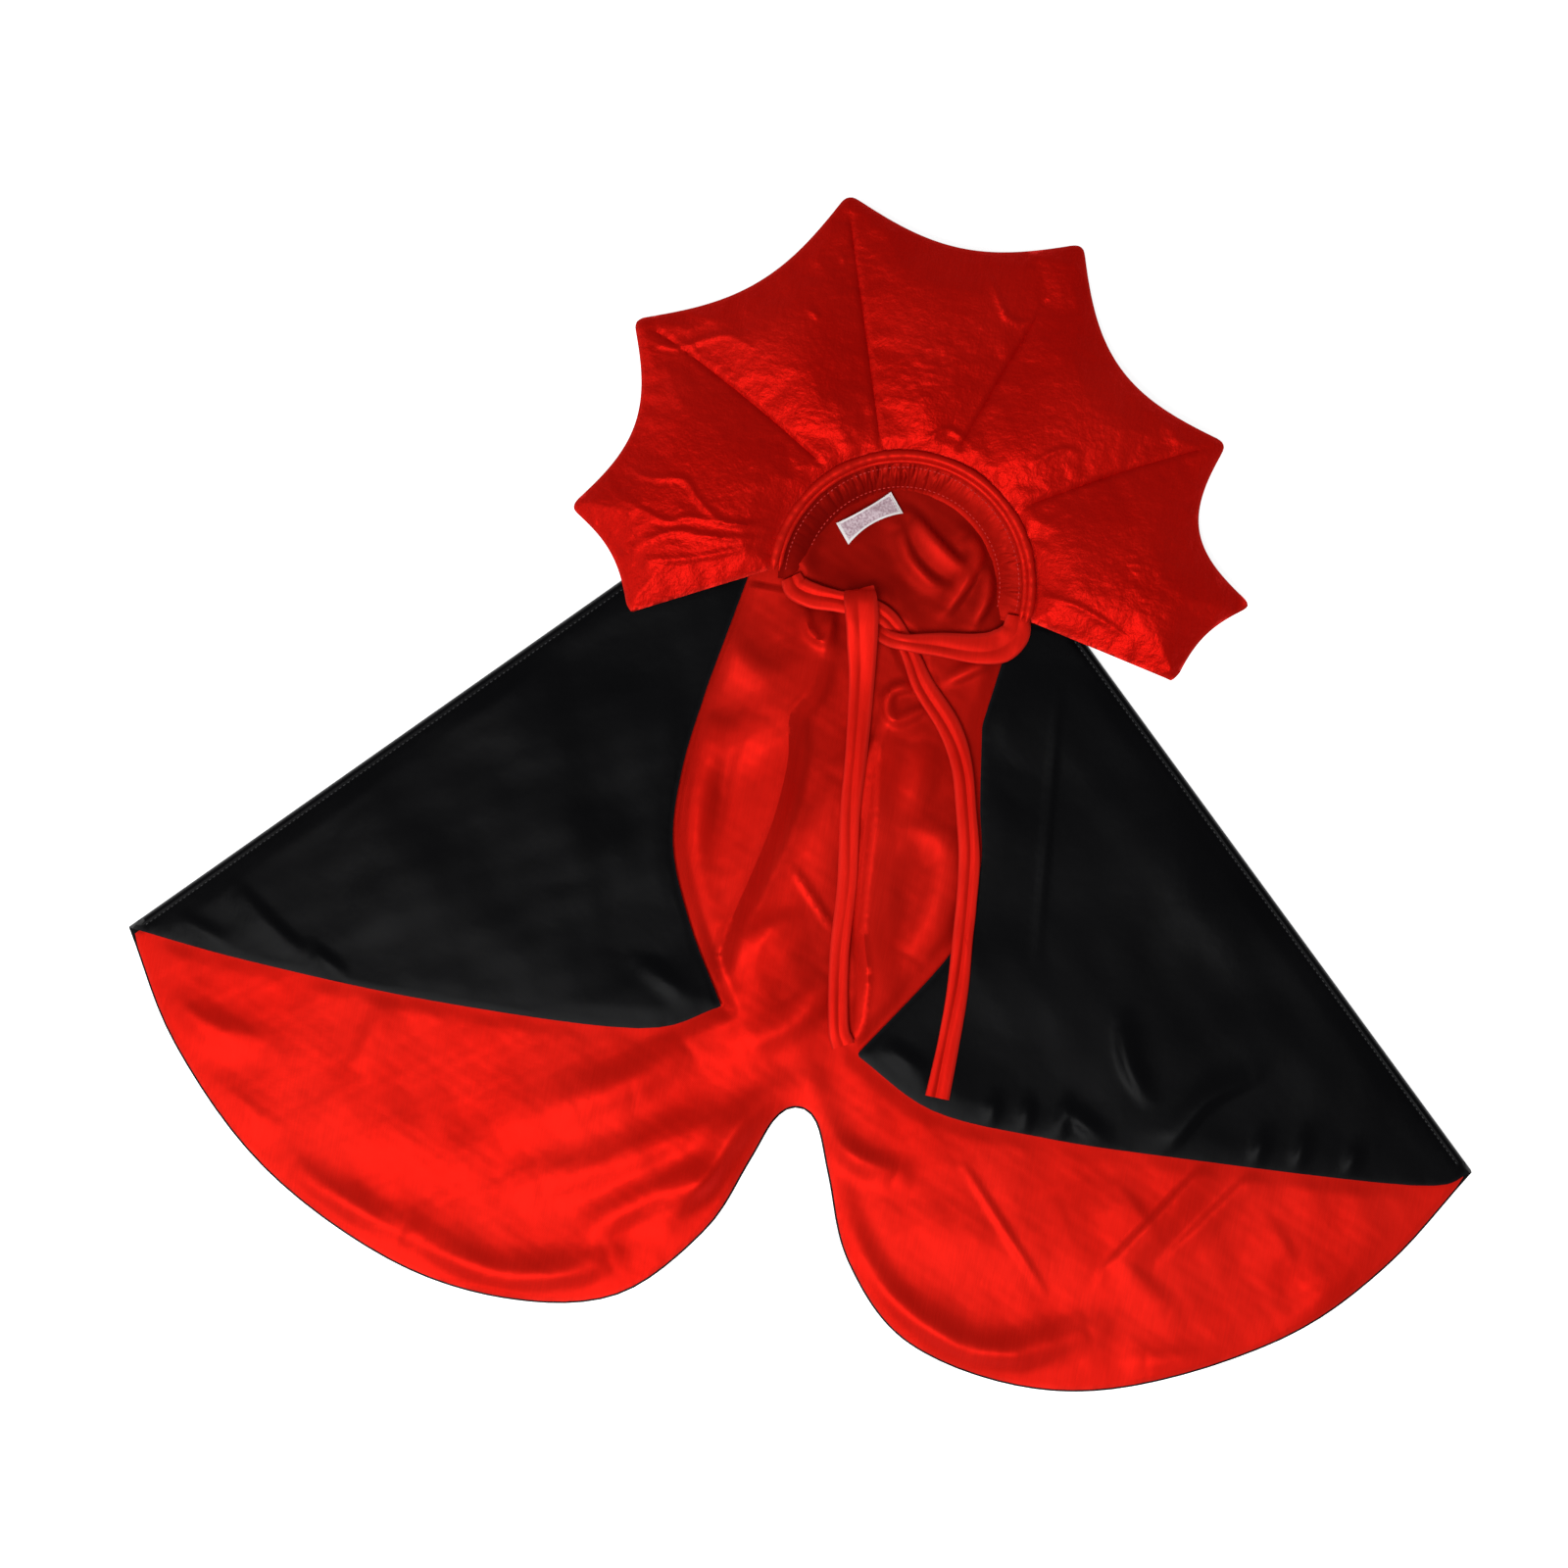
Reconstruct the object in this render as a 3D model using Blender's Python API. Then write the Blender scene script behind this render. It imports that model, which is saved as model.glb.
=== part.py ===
"""Costume cape for a toddler or a pet, lying flat on its back with both fronts folded in.

Black satin outside, red satin lining, a padded collar of seven gores with eight pointed tips,
a piped neck seam, a gathered neck casing, two self-fabric ties and a care label.
+Z up, metres. The plan is drawn in millimetres from the notch in the middle of the back hem,
Y towards the collar, and is moved to the origin by PLAN_CENTRE. Left and right are as seen
from above, so a name that starts with left is at -X.
"""

import math

import bmesh
import bpy
from mathutils import Matrix, Vector

MM = 0.001
PLAN_CENTRE = Vector((-2.5, 169.8, 0.0))

# Heights of the cloth layers above the table.
SHELL = 1.2
LINING = 1.0
LAYER_GAP = 0.4
BACK_LINING_Z = SHELL + LAYER_GAP
FRONT_LINING_Z = BACK_LINING_Z + LINING + LAYER_GAP
FRONT_SHELL_Z = FRONT_LINING_Z + LINING + LAYER_GAP
FRONT_TOP_Z = FRONT_SHELL_Z + SHELL
EDGE_INSET = 1.0  # how far the lining stays inside the shell's edge
CREASE_GAP = 0.3  # half the gap between two pieces that meet at a crease

# Back panel.
LEFT_CORNER = (-350.0, 30.0)
RIGHT_CORNER = (345.0, 29.0)
LEFT_LOBE = [LEFT_CORNER, (-316, -25), (-261, -78), (-190, -113), (-127, -122), (-72, -110), (-34, -70)]
LEFT_LOBE += [(-18, -32), (-9, -8)]
NOTCH_TOP = (1.0, 0.0)
RIGHT_LOBE = [(12, -6), (23, -32), (40, -72), (76, -107), (136, -119.5), (195, -109), (265, -72)]
RIGHT_LOBE += [(310, -27), RIGHT_CORNER]
LEFT_SHOULDER = (-117.0, 266.0)
RIGHT_SHOULDER = (96.0, 266.0)

# Fronts: each free edge from the neck to the lower corner, then the hem out to the side corner.
LEFT_NECK_END = (-71.0, 264.0)
LEFT_CREASE_TOP = (-82.0, 203.0)
LEFT_EDGE = [LEFT_CREASE_TOP, (-87, 161), (-85, 121), (-69.5, 83), (-46, 44)]
LEFT_HEM = [(-46, 44), (-86, 25.5), (-191, 20.7), (-286, 24), LEFT_CORNER]
RIGHT_NECK_END = (66.0, 262.0)
RIGHT_CREASE_TOP = (59.0, 208.0)
RIGHT_EDGE = [RIGHT_CREASE_TOP, (65, 169), (71, 139), (69, 108), (60, 84), (26, 32)]
RIGHT_HEM = [(26, 32), (69, 11), (125, 7.5), (186, 9), (316, 17), RIGHT_CORNER]

# Neck and collar.
NECK = (6.0, 271.0)
COLLAR_INNER = 67.3
COLLAR_Z = 10.5
COLLAR_SKIN = 1.0
COLLAR_PAD = 5.0
# Radius and bearing of each tip from the neck centre, and the depth of the scallop after it.
TIPS = [
    (147.0, -9.4, 6.0),
    (178.2, 6.8, 21.0),
    (180.3, 33.7, 22.0),
    (196.4, 72.2, 15.5),
    (200.8, 108.0, 16.0),
    (191.7, 145.5, 18.0),
    (173.2, 177.0, 7.0),
    (139.6, 196.2, 0.0),
]
COLLAR_CREASE_Y = 345.0
COLLAR_DROOP = math.radians(5.0)
PIPING_RADIUS = 3.0
PIPING_PATH = 63.4
CASING = (50.5, 60.0)
CASING_HEIGHT = 5.0

LABEL_SIZE = (30.0, 12.0, 0.5)
LABEL_AT = (-16.0, 301.5)
LABEL_TURN = math.radians(42.0)

# Ties: the route of each from the end of the neck casing to its free end.
TIE_RADIUS = 1.7
RIGHT_ROOT_TIE = [
    (67, 266, 7.8), (67, 257, 7.8), (61, 249.5, 7.8), (50, 246, 7.8), (31, 244.5, 8.4),
    (13.5, 242.5, 9.8), (3, 243.5, 7.6), (-5, 248.5, 5.2), (-11.5, 257, 5.0), (-14.5, 264.5, 8.8),
    (-13.5, 260.5, 13.0), (-11, 251, 13.2), (-8.5, 238, 10.4), (-5.2, 218, 7.4), (-1.6, 184.2, 6.8),
    (0.9, 152.1, 6.6), (5.7, 116.9, 6.6), (8.2, 80.8, 6.6), (14, 45.7, 6.6), (18.5, 35.4, 6.6),
]
LEFT_ROOT_TIE = [
    (-50, 265, 6.0), (-46, 260, 6.6), (-37, 257.5, 7.8), (-25, 257, 8.8), (-11, 256.5, 9.2),
    (1, 253.5, 7.6), (10.5, 245.5, 5.2), (18, 235, 5.0), (26, 222.5, 5.8), (42, 205, 6.6), (52, 187, 7.6),
    (59, 162.6, 7.8), (64.5, 140.3, 7.8), (67.2, 117, 7.8), (68.5, 99, 7.8), (70.5, 74, 7.8),
    (70.8, 47, 7.8), (70, 18, 7.8),
]


def clear_scene():
    for thing in list(bpy.data.objects):
        bpy.data.objects.remove(thing, do_unlink=True)


def material(name, colour, roughness):
    made = bpy.data.materials.new(name)
    made.use_nodes = True
    shader = made.node_tree.nodes["Principled BSDF"]
    shader.inputs["Base Color"].default_value = (*colour, 1.0)
    shader.inputs["Roughness"].default_value = roughness
    shader.inputs["Metallic"].default_value = 0.0
    return made


def smooth(points, steps=6):
    """A Catmull-Rom curve through the points, open at both ends."""
    knots = [Vector(point) for point in points]
    knots = [2 * knots[0] - knots[1], *knots, 2 * knots[-1] - knots[-2]]
    curve = []
    for a, b, c, d in zip(knots, knots[1:], knots[2:], knots[3:]):
        for step in range(steps):
            t = step / steps
            bend = (2 * a - 5 * b + 4 * c - d) * t**2 + (3 * b - a - 3 * c + d) * t**3
            curve.append(b + 0.5 * ((c - a) * t + bend))
    curve.append(knots[-2])
    return curve


def arc(radius, start, end, steps):
    """Points on a circle round the neck, between two bearings in degrees."""
    made = []
    for step in range(steps + 1):
        bearing = math.radians(start + (end - start) * step / steps)
        made.append(Vector((NECK[0] + radius * math.cos(bearing), NECK[1] + radius * math.sin(bearing))))
    return made


def scallop(start, end, depth, steps=8):
    """A shallow curve from one tip to the next that sinks towards the neck."""
    across = end - start
    inward = Vector((-across.y, across.x)).normalized()
    return [
        start + across * (step / steps) + inward * depth * math.sin(math.pi * step / steps)
        for step in range(steps + 1)
    ]


def joined(*stretches):
    """The stretches as one closed outline, anticlockwise, with no point twice."""
    outline = []
    for stretch in stretches:
        for point in stretch:
            point = Vector(point[:2])
            if not outline or (point - outline[-1]).length > 0.05:
                outline.append(point)
    if (outline[0] - outline[-1]).length < 0.05:
        outline.pop()
    area = sum(a.x * b.y - b.x * a.y for a, b in zip(outline, outline[1:] + outline[:1]))
    return outline if area > 0 else outline[::-1]


def inset(outline, distance):
    """The outline moved inwards by the distance, with mitred corners."""
    moved = []
    for before, here, after in zip(outline[-1:] + outline[:-1], outline, outline[1:] + outline[:1]):
        along_in = (here - before).normalized()
        along_out = (after - here).normalized()
        normal_in = Vector((-along_in.y, along_in.x))
        normal_out = Vector((-along_out.y, along_out.x))
        mitre = normal_in + normal_out
        moved.append(here + mitre * (2 * distance / max(mitre.length_squared, 0.02)))
    return moved


def slab(name, outline, bottom, thickness, finish):
    """A flat layer of cloth: the outline in millimetres, raised to its height and extruded."""
    builder = bmesh.new()
    corners = [builder.verts.new((point.x * MM, point.y * MM, bottom * MM)) for point in outline]
    face = builder.faces.new(corners)
    raised = bmesh.ops.extrude_face_region(builder, geom=[face])
    tops = [item for item in raised["geom"] if isinstance(item, bmesh.types.BMVert)]
    bmesh.ops.translate(builder, verts=tops, vec=(0, 0, thickness * MM))
    bmesh.ops.recalc_face_normals(builder, faces=builder.faces)
    return finished(name, builder, finish)


def finished(name, builder, finish):
    mesh = bpy.data.meshes.new(name)
    builder.to_mesh(mesh)
    builder.free()
    mesh.transform(Matrix.Translation(-PLAN_CENTRE * MM))
    mesh.materials.append(finish)
    made = bpy.data.objects.new(name, mesh)
    bpy.context.collection.objects.link(made)
    return made


def hinge_at(thing, point):
    """Puts the object's origin on its joint axis without moving its shape."""
    pivot = (Vector(point) - PLAN_CENTRE) * MM
    thing.data.transform(Matrix.Translation(-pivot))
    thing.location = pivot


def tube(name, points, radius, finish, sides):
    """A round tube with filled ends along the points."""
    curve = bpy.data.curves.new(name, "CURVE")
    curve.dimensions = "3D"
    curve.bevel_depth = radius * MM
    curve.bevel_resolution = sides
    curve.use_fill_caps = True
    spline = curve.splines.new("POLY")
    spline.points.add(len(points) - 1)
    for knot, point in zip(spline.points, points):
        knot.co = (*((point - PLAN_CENTRE) * MM), 1.0)
    curve.materials.append(finish)
    made = bpy.data.objects.new(name, curve)
    bpy.context.collection.objects.link(made)
    return made


def build_back(black, red):
    outline = joined(
        smooth(LEFT_LOBE + [NOTCH_TOP] + RIGHT_LOBE),
        [RIGHT_SHOULDER],
        arc(COLLAR_INNER - 1, 12, 168, 26),
        [LEFT_SHOULDER],
    )
    slab("back_shell", outline, 0.0, SHELL, black)
    slab("back_lining", inset(outline, EDGE_INSET), BACK_LINING_Z, LINING, red)


def build_front(side, fold, edge, hem, black, red):
    """One front: the part beside the side fold stays down, and the rest turns back at the crease.

    fold is the side corner, the shoulder and the neck end of the part beside the side fold.
    """
    crease_top = edge[0]
    fixed = inset(joined([*fold, crease_top]), CREASE_GAP)
    turning = inset(joined(smooth(edge), smooth(hem)), CREASE_GAP)
    for part, outline in (("side", fixed), ("front", turning)):
        shell = slab(f"{side}_{part}_shell", outline, FRONT_SHELL_Z, SHELL, black)
        lining = slab(f"{side}_{part}_lining", inset(outline, EDGE_INSET), FRONT_LINING_Z, LINING, red)
        if part == "front":
            for layer in (shell, lining):
                hinge_at(layer, (*crease_top, FRONT_TOP_Z + 0.2))


def collar_outline():
    tips = [arc(radius, bearing, bearing, 1)[0] for radius, bearing, _ in TIPS]
    stretches = [scallop(a, b, depth) for a, b, (_, _, depth) in zip(tips, tips[1:], TIPS)]
    return joined(*stretches, arc(COLLAR_INNER, 184, -6, 30))


def split_at_crease(name, layer, upper, finish):
    """The part of a collar layer on one side of the straight crease above the neck."""
    builder = bmesh.new()
    builder.from_mesh(layer.data)
    offset = CREASE_GAP if upper else -CREASE_GAP
    crease = (Vector((0, COLLAR_CREASE_Y + offset, 0)) - PLAN_CENTRE) * MM
    everything = builder.verts[:] + builder.edges[:] + builder.faces[:]
    bmesh.ops.bisect_plane(
        builder,
        geom=everything,
        plane_co=crease,
        plane_no=(0, 1, 0),
        clear_inner=upper,
        clear_outer=not upper,
    )
    bmesh.ops.holes_fill(builder, edges=[edge for edge in builder.edges if edge.is_boundary])
    bmesh.ops.recalc_face_normals(builder, faces=builder.faces)
    if upper:
        pivot = (Vector((0, COLLAR_CREASE_Y, COLLAR_Z)) - PLAN_CENTRE) * MM
        droop = Matrix.Rotation(-COLLAR_DROOP, 4, "X")
        turn = Matrix.Translation(pivot) @ droop @ Matrix.Translation(-pivot)
        bmesh.ops.transform(builder, matrix=turn, verts=builder.verts)
    bmesh.ops.translate(builder, verts=builder.verts, vec=PLAN_CENTRE * MM)
    return finished(name, builder, finish)


def build_collar(black, red, wadding):
    outline = collar_outline()
    layers = (
        ("shell", 0.0, COLLAR_SKIN, 0.0, black),
        ("pad", COLLAR_SKIN + LAYER_GAP, COLLAR_PAD, 2.0, wadding),
        ("lining", COLLAR_SKIN + COLLAR_PAD + 2 * LAYER_GAP, COLLAR_SKIN, 0.5, red),
    )
    top = COLLAR_Z + 2 * COLLAR_SKIN + COLLAR_PAD + 2 * LAYER_GAP + 0.2
    for kind, rise, thickness, narrower, finish in layers:
        whole = slab("collar_layer", inset(outline, narrower), COLLAR_Z + rise, thickness, finish)
        split_at_crease(f"collar_wings_{kind}", whole, False, finish)
        back = split_at_crease(f"collar_back_{kind}", whole, True, finish)
        hinge_at(back, (0, COLLAR_CREASE_Y, top))
        bpy.data.objects.remove(whole, do_unlink=True)


def build_neck(red):
    height = COLLAR_Z + 0.5 * COLLAR_PAD + COLLAR_SKIN
    ring = [Vector((*point, height)) for point in arc(PIPING_PATH, 184, -6, 40)]
    tube("neck_piping", ring, PIPING_RADIUS, red, 2)
    band = joined(arc(CASING[1], 4, 182, 36), arc(CASING[0], 182, 4, 36))
    slab("neck_casing", band, BACK_LINING_Z + LINING + LAYER_GAP, CASING_HEIGHT, red)


def build_label(white):
    length, width, thickness = LABEL_SIZE
    turn = Matrix.Rotation(LABEL_TURN, 2)
    corners = [(-length, -width), (length, -width), (length, width), (-length, width)]
    outline = [Vector(LABEL_AT) + turn @ (0.5 * Vector(corner)) for corner in corners]
    slab("care_label", outline, BACK_LINING_Z + LINING + LAYER_GAP, thickness, white)


def main():
    clear_scene()
    black = material("black_satin", (0.009, 0.009, 0.011), 0.42)
    red = material("red_satin", (0.62, 0.012, 0.008), 0.38)
    wadding = material("wadding", (0.78, 0.76, 0.72), 0.95)
    white = material("label_tape", (0.70, 0.56, 0.60), 0.7)
    build_back(black, red)
    left_fold = [LEFT_CORNER, LEFT_SHOULDER, LEFT_NECK_END]
    right_fold = [RIGHT_CORNER, RIGHT_SHOULDER, RIGHT_NECK_END]
    build_front("left", left_fold, LEFT_EDGE, LEFT_HEM, black, red)
    build_front("right", right_fold, RIGHT_EDGE, RIGHT_HEM, black, red)
    build_collar(black, red, wadding)
    build_neck(red)
    build_label(white)
    tube("right_tie", smooth([Vector(point) for point in RIGHT_ROOT_TIE], 3), TIE_RADIUS, red, 2)
    tube("left_tie", smooth([Vector(point) for point in LEFT_ROOT_TIE], 3), TIE_RADIUS, red, 2)


main()
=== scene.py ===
"""The look of the costume cape: satin, padded collar, piped neck, ties and label round the CAD frame.

The plan is drawn as in the part: millimetres from the notch in the middle of the back hem, X to
the right, Y towards the collar, heights above the table. to_row() moves plan points to the frame.
"""

import math

import bmesh
import bpy
import numpy as np
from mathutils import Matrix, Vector
from mathutils.bvhtree import BVHTree
from mathutils.geometry import delaunay_2d_cdt
from mathutils.kdtree import KDTree


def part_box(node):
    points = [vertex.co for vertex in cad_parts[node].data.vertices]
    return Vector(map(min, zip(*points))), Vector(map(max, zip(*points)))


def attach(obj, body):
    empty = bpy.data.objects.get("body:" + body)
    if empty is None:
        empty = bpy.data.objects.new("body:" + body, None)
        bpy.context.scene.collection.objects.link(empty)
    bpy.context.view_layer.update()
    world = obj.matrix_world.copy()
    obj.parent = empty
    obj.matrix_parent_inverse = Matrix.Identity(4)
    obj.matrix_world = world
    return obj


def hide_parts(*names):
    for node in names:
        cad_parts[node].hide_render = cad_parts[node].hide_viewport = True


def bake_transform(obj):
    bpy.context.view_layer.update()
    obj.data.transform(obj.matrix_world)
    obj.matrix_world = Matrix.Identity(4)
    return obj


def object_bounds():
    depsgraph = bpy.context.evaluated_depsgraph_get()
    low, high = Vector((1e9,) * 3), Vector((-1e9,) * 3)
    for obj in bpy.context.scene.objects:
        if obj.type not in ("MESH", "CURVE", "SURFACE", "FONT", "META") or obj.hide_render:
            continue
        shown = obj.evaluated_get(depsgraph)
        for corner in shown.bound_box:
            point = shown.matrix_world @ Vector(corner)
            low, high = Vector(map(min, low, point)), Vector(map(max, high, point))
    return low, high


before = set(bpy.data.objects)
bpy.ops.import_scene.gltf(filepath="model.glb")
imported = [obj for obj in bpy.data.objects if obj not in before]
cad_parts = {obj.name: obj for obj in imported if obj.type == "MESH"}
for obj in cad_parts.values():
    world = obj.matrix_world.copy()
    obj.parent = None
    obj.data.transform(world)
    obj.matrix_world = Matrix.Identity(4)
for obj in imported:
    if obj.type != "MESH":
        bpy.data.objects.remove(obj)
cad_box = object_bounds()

MM = 0.001
TAU = math.tau

# The neck ring's centre and outer reach on the plan place the plan in the frame.
NECK = np.array([6.0, 271.0])
RING_REACH = 66.4
ring_low, ring_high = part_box("neck_piping")
ORIGIN = np.array(
    [(ring_low.x + ring_high.x) / 2 - NECK[0] * MM, ring_high.y - (NECK[1] + RING_REACH) * MM, 0.0]
)

# Heights of the cloth layers, from the frame.
BACK_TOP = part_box("back_lining")[1].z / MM
FRONT_LINING_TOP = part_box("left_front_lining")[1].z / MM
FRONT_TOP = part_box("left_front_shell")[1].z / MM
COLLAR_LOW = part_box("collar_wings_shell")[0].z / MM
COLLAR_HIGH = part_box("collar_wings_lining")[1].z / MM
CLOTH = 0.8
FRONT_LINING = 0.6
LAYER_GAP = 0.35
EDGE_INSET = 1.0  # how far the lining stays inside the shell's edge
FRONT_INSET = 2.2
FOLD_INSET = 4.6  # how far the linings stay inside the side folds
TOPSTITCH = 4.2  # how far the side folds' stitches are from the fold
NO_RIM = 50.0  # the rim distance of a piece that has no worn edge
STITCH_RADIUS = 0.28

BACK_SPACING = 1.9
BACK_SHELL_SPACING = 4.5
FRONT_SPACING = 2.6
COLLAR_SPACING = 1.6

# Back panel.
LEFT_CORNER = (-350.0, 30.0)
RIGHT_CORNER = (345.0, 29.0)
LEFT_LOBE = [LEFT_CORNER, (-316, -25), (-261, -78), (-190, -113), (-127, -122), (-72, -110), (-34, -70)]
LEFT_LOBE += [(-18, -32), (-9, -8)]
NOTCH_TOP = (1.0, 0.0)
RIGHT_LOBE = [(12, -6), (23, -32), (40, -72), (76, -107), (136, -119.5), (195, -109), (265, -72)]
RIGHT_LOBE += [(310, -27), RIGHT_CORNER]
LEFT_SHOULDER = (-117.0, 266.0)
RIGHT_SHOULDER = (96.0, 266.0)

# Fronts.
LEFT_NECK_END = (-71.0, 264.0)
LEFT_CREASE_TOP = (-82.0, 203.0)
LEFT_EDGE = [LEFT_CREASE_TOP, (-87, 161), (-85, 121), (-69.5, 83), (-46, 44)]
LEFT_HEM = [(-46, 44), (-86, 25.5), (-191, 20.7), (-286, 24), LEFT_CORNER]
RIGHT_NECK_END = (66.0, 262.0)
RIGHT_CREASE_TOP = (59.0, 208.0)
RIGHT_EDGE = [RIGHT_CREASE_TOP, (65, 169), (71, 139), (69, 108), (60, 84), (26, 32)]
RIGHT_HEM = [(26, 32), (69, 11), (125, 7.5), (186, 9), (316, 17), RIGHT_CORNER]

# Collar: radius and bearing of each tip from the neck centre, and the scallop's depth after it.
COLLAR_INNER = 67.3
TIPS = [
    (147.0, -9.4, 6.0),
    (178.2, 6.8, 21.0),
    (180.3, 33.7, 22.0),
    (196.4, 72.2, 15.5),
    (200.8, 108.0, 16.0),
    (191.7, 145.5, 18.0),
    (173.2, 177.0, 7.0),
    (139.6, 196.2, 0.0),
]

# Ties: the routes of the part, and the ribbon's width at each point.
RIGHT_ROOT_TIE = [
    (67, 266, 7.8), (67, 257, 7.8), (61, 249.5, 7.8), (50, 246, 7.8), (31, 244.5, 8.4),
    (13.5, 242.5, 9.8), (3, 243.5, 7.6), (-5, 248.5, 5.2), (-11.5, 257, 5.0), (-14.5, 264.5, 8.8),
    (-13.5, 260.5, 13.0), (-11, 251, 13.2), (-8.5, 238, 10.4), (-5.2, 218, 7.4), (-1.6, 184.2, 6.8),
    (0.9, 152.1, 6.6), (5.7, 116.9, 6.6), (8.2, 80.8, 6.6), (14, 45.7, 6.6), (18.5, 35.4, 6.6),
]
RIGHT_ROOT_WIDTHS = [12, 15.5, 17.6, 15.5, 12.5, 8.5, 8, 9, 11, 15]
RIGHT_ROOT_WIDTHS += [17, 17, 15.5, 13, 11.5, 10.5, 10, 10, 10.5, 12]
LEFT_ROOT_TIE = [
    (-50, 265, 6.0), (-46, 260, 6.6), (-37, 257.5, 7.8), (-25, 257, 8.8), (-11, 256.5, 9.2),
    (1, 253.5, 7.6), (10.5, 245.5, 5.2), (18, 235, 5.0), (26, 222.5, 5.8), (42, 205, 6.6), (52, 187, 7.6),
    (59, 162.6, 7.8), (64.5, 140.3, 7.8), (67.2, 117, 7.8), (68.5, 99, 7.8), (70.5, 74, 7.8),
    (70.8, 47, 7.8), (70, 18, 7.8),
]
LEFT_ROOT_WIDTHS = [11, 13.5, 13, 11, 11.5, 10, 8.5, 9.5, 11.5, 12, 11, 10.5, 11, 10.5, 10.5, 11, 11, 12.5]
TIE_THICKNESS = 1.8


# ---------------------------------------------------------------- plan geometry


def to_row(points):
    """Plan points in millimetres, with their heights, as row frame points in metres."""
    return np.asarray(points, float) * MM + ORIGIN


def smooth(points, steps=6):
    """A Catmull-Rom curve through the points, open at both ends."""
    knots = np.array(points, float)
    knots = np.vstack([2 * knots[0] - knots[1], knots, 2 * knots[-1] - knots[-2]])
    t = (np.arange(steps) / steps)[:, None]
    curve = []
    for a, b, c, d in zip(knots, knots[1:], knots[2:], knots[3:]):
        bend = (2 * a - 5 * b + 4 * c - d) * t**2 + (3 * b - a - 3 * c + d) * t**3
        curve.append(b + 0.5 * ((c - a) * t + bend))
    curve.append(knots[-2:-1])
    return np.vstack(curve)


def ring(radius, start, end, steps):
    """Plan points on a circle round the neck, between two bearings in degrees."""
    bearing = np.radians(np.linspace(start, end, steps + 1))
    return NECK + radius * np.stack([np.cos(bearing), np.sin(bearing)], axis=1)


def evenly(line, spacing, closed=False):
    """The line again, with its points about spacing apart."""
    line = np.vstack([line, line[:1]]) if closed else np.asarray(line, float)
    along = np.concatenate([[0], np.cumsum(np.linalg.norm(np.diff(line, axis=0), axis=1))])
    count = max(2, round(along[-1] / spacing))
    at = np.linspace(0, along[-1], count + 1)[: count if closed else None]
    return np.stack([np.interp(at, along, line[:, k]) for k in range(line.shape[1])], axis=1)


def outline_of(*stretches):
    """The stretches as one closed outline, anticlockwise, with no point twice."""
    points = np.vstack([np.atleast_2d(np.asarray(stretch, float))[:, :2] for stretch in stretches])
    apart = np.linalg.norm(points - np.roll(points, 1, axis=0), axis=1) > 0.05
    points = points[apart]
    x, y = points.T
    area = np.sum(x * np.roll(y, -1) - np.roll(x, -1) * y)
    return points if area > 0 else points[::-1]


def inset(outline, distance):
    """The outline moved inwards by the distance, with mitred corners."""
    ahead = np.roll(outline, -1, axis=0) - outline
    ahead /= np.linalg.norm(ahead, axis=1)[:, None]
    normal = np.stack([-ahead[:, 1], ahead[:, 0]], axis=1)
    mitre = normal + np.roll(normal, 1, axis=0)
    return outline + mitre * (2 * distance / np.maximum((mitre**2).sum(1), 0.1))[:, None]


def inside(plan, outline):
    """Which plan points lie inside the outline."""
    found = np.zeros(len(plan), bool)
    for (ax, ay), (bx, by) in zip(outline, np.roll(outline, -1, axis=0)):
        spans = (ay > plan[:, 1]) != (by > plan[:, 1])
        rise = by - ay if by != ay else 1e-12
        found ^= spans & (plan[:, 0] < ax + (plan[:, 1] - ay) * (bx - ax) / rise)
    return found


def nearest(plan, points):
    """How far each plan point is from the nearest of the points."""
    tree = KDTree(len(points))
    for index, (x, y) in enumerate(points):
        tree.insert((x, y, 0), index)
    tree.balance()
    return np.array([tree.find((x, y, 0))[2] for x, y in plan])


def rim_distance(plan, outline):
    """How far each plan point is from the outline, in millimetres."""
    return nearest(plan, evenly(outline, 1.0, closed=True))


def ease(values, low, high):
    """0 below low, 1 above high, and a smooth step between."""
    t = np.clip((np.asarray(values, float) - low) / (high - low), 0, 1)
    return t * t * (3 - 2 * t)


def waves(plan, wavelength, seed, count=9, heading=None, spread=math.pi):
    """Smooth random hills about a wavelength apart, mostly between -1 and 1."""
    random = np.random.default_rng(seed)
    middle = random.uniform(0, TAU) if heading is None else heading
    total = np.zeros(len(plan))
    for _ in range(count):
        angle = middle + random.uniform(-spread, spread)
        length = wavelength * random.uniform(0.7, 1.5)
        phase = random.uniform(0, TAU)
        across = plan[:, 0] * math.cos(angle) + plan[:, 1] * math.sin(angle)
        total += np.sin(across * TAU / length + phase)
    return total / math.sqrt(count)


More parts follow.
